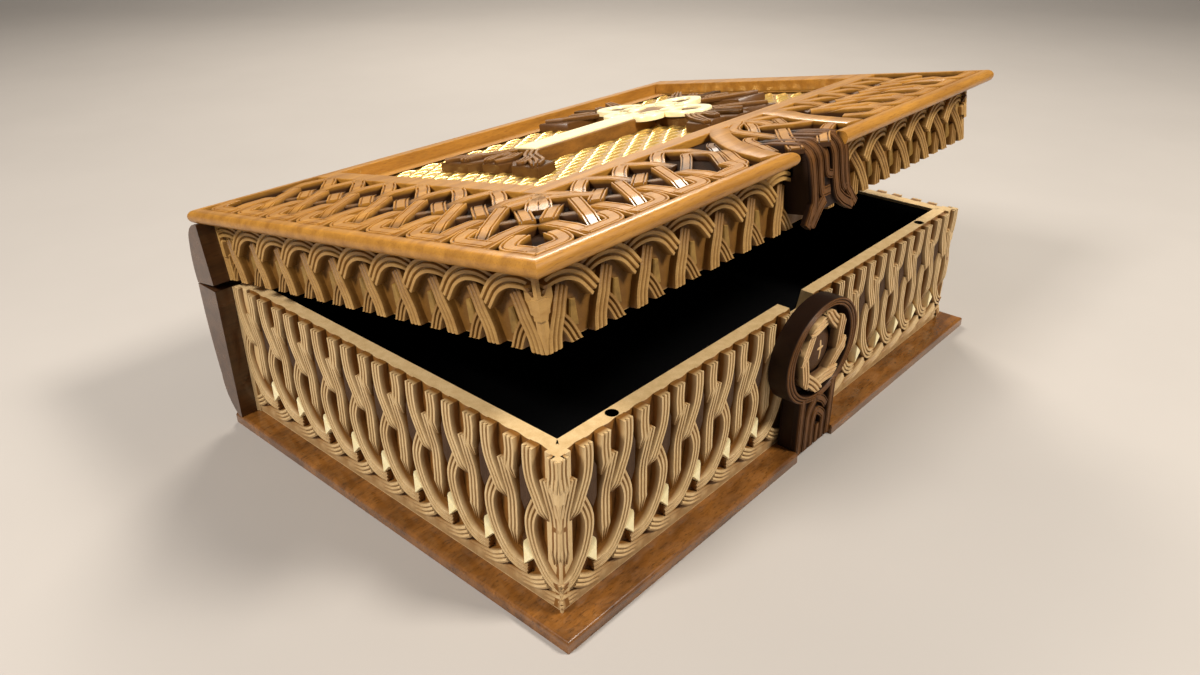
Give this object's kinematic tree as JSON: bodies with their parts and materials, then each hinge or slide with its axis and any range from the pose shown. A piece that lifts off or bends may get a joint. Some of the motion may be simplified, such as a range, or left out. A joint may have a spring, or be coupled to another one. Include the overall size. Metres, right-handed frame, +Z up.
{
  "type": "book box",
  "caption": "Carved wooden keepsake box in the form of a book, with a rounded spine, a hinged lid, a ring clasp held by magnets and a velvet lining.",
  "frame": {"origin": "underside of the bottom cover, below the middle of the four walls", "axes": "+Z up, +X along the spine towards the head of the book, -Y towards the fore-edge with the clasp"},
  "size_m": [0.326, 0.2285, 0.1421],
  "materials": {
    "walnut": "polished",
    "dark_walnut": "oiled",
    "pale_wood": "carved, satin",
    "dark_inlay": "matt",
    "gilding": "gold leaf on wood",
    "velvet": "black velvet",
    "magnet": "black coated",
    "hinge_brass": "polished"
  },
  "bodies": {
    "case": {"back_lining": "velvet", "back_wall": "pale_wood", "bottom_cover": "walnut", "case_dark_inlays": "dark_inlay", "case_gold_inlays": "gilding", "case_hinge_screws": "hinge_brass", "case_magnets": "magnet", "clasp_bracket": "dark_walnut", "clasp_rosette": "pale_wood", "floor_lining": "velvet", "front_lining": "velvet", "front_wall": "pale_wood", "head_hinge_lower_leaf": "hinge_brass", "head_hinge_pin": "hinge_brass", "head_lining": "velvet", "head_wall": "pale_wood", "lower_spine": "walnut", "rosette_boss": "dark_walnut", "tail_hinge_lower_leaf": "hinge_brass", "tail_hinge_pin": "hinge_brass", "tail_lining": "velvet", "tail_wall": "pale_wood"},
    "lid": {"clasp_tongue": "dark_walnut", "cover_cross": "dark_walnut", "cross_gilding": "gilding", "gilded_ground": "gilding", "head_hinge_upper_leaf": "hinge_brass", "lid_back_lining": "velvet", "lid_back_wall": "pale_wood", "lid_ceiling_lining": "velvet", "lid_front_lining": "velvet", "lid_front_wall": "pale_wood", "lid_gold_inlays": "gilding", "lid_head_lining": "velvet", "lid_head_wall": "pale_wood", "lid_hinge_screws": "hinge_brass", "lid_magnets": "magnet", "lid_tail_lining": "velvet", "lid_tail_wall": "pale_wood", "tail_hinge_upper_leaf": "hinge_brass", "top_cover": "walnut", "upper_spine": "walnut"}
  },
  "joints": [
    {"name": "lid_hinge", "type": "hinge", "parent": "case", "child": "lid", "pos_m": [0, 0.1153, 0.0702], "axis": [-1, 0, 0], "range_deg": [-10, 90]}
  ]
}
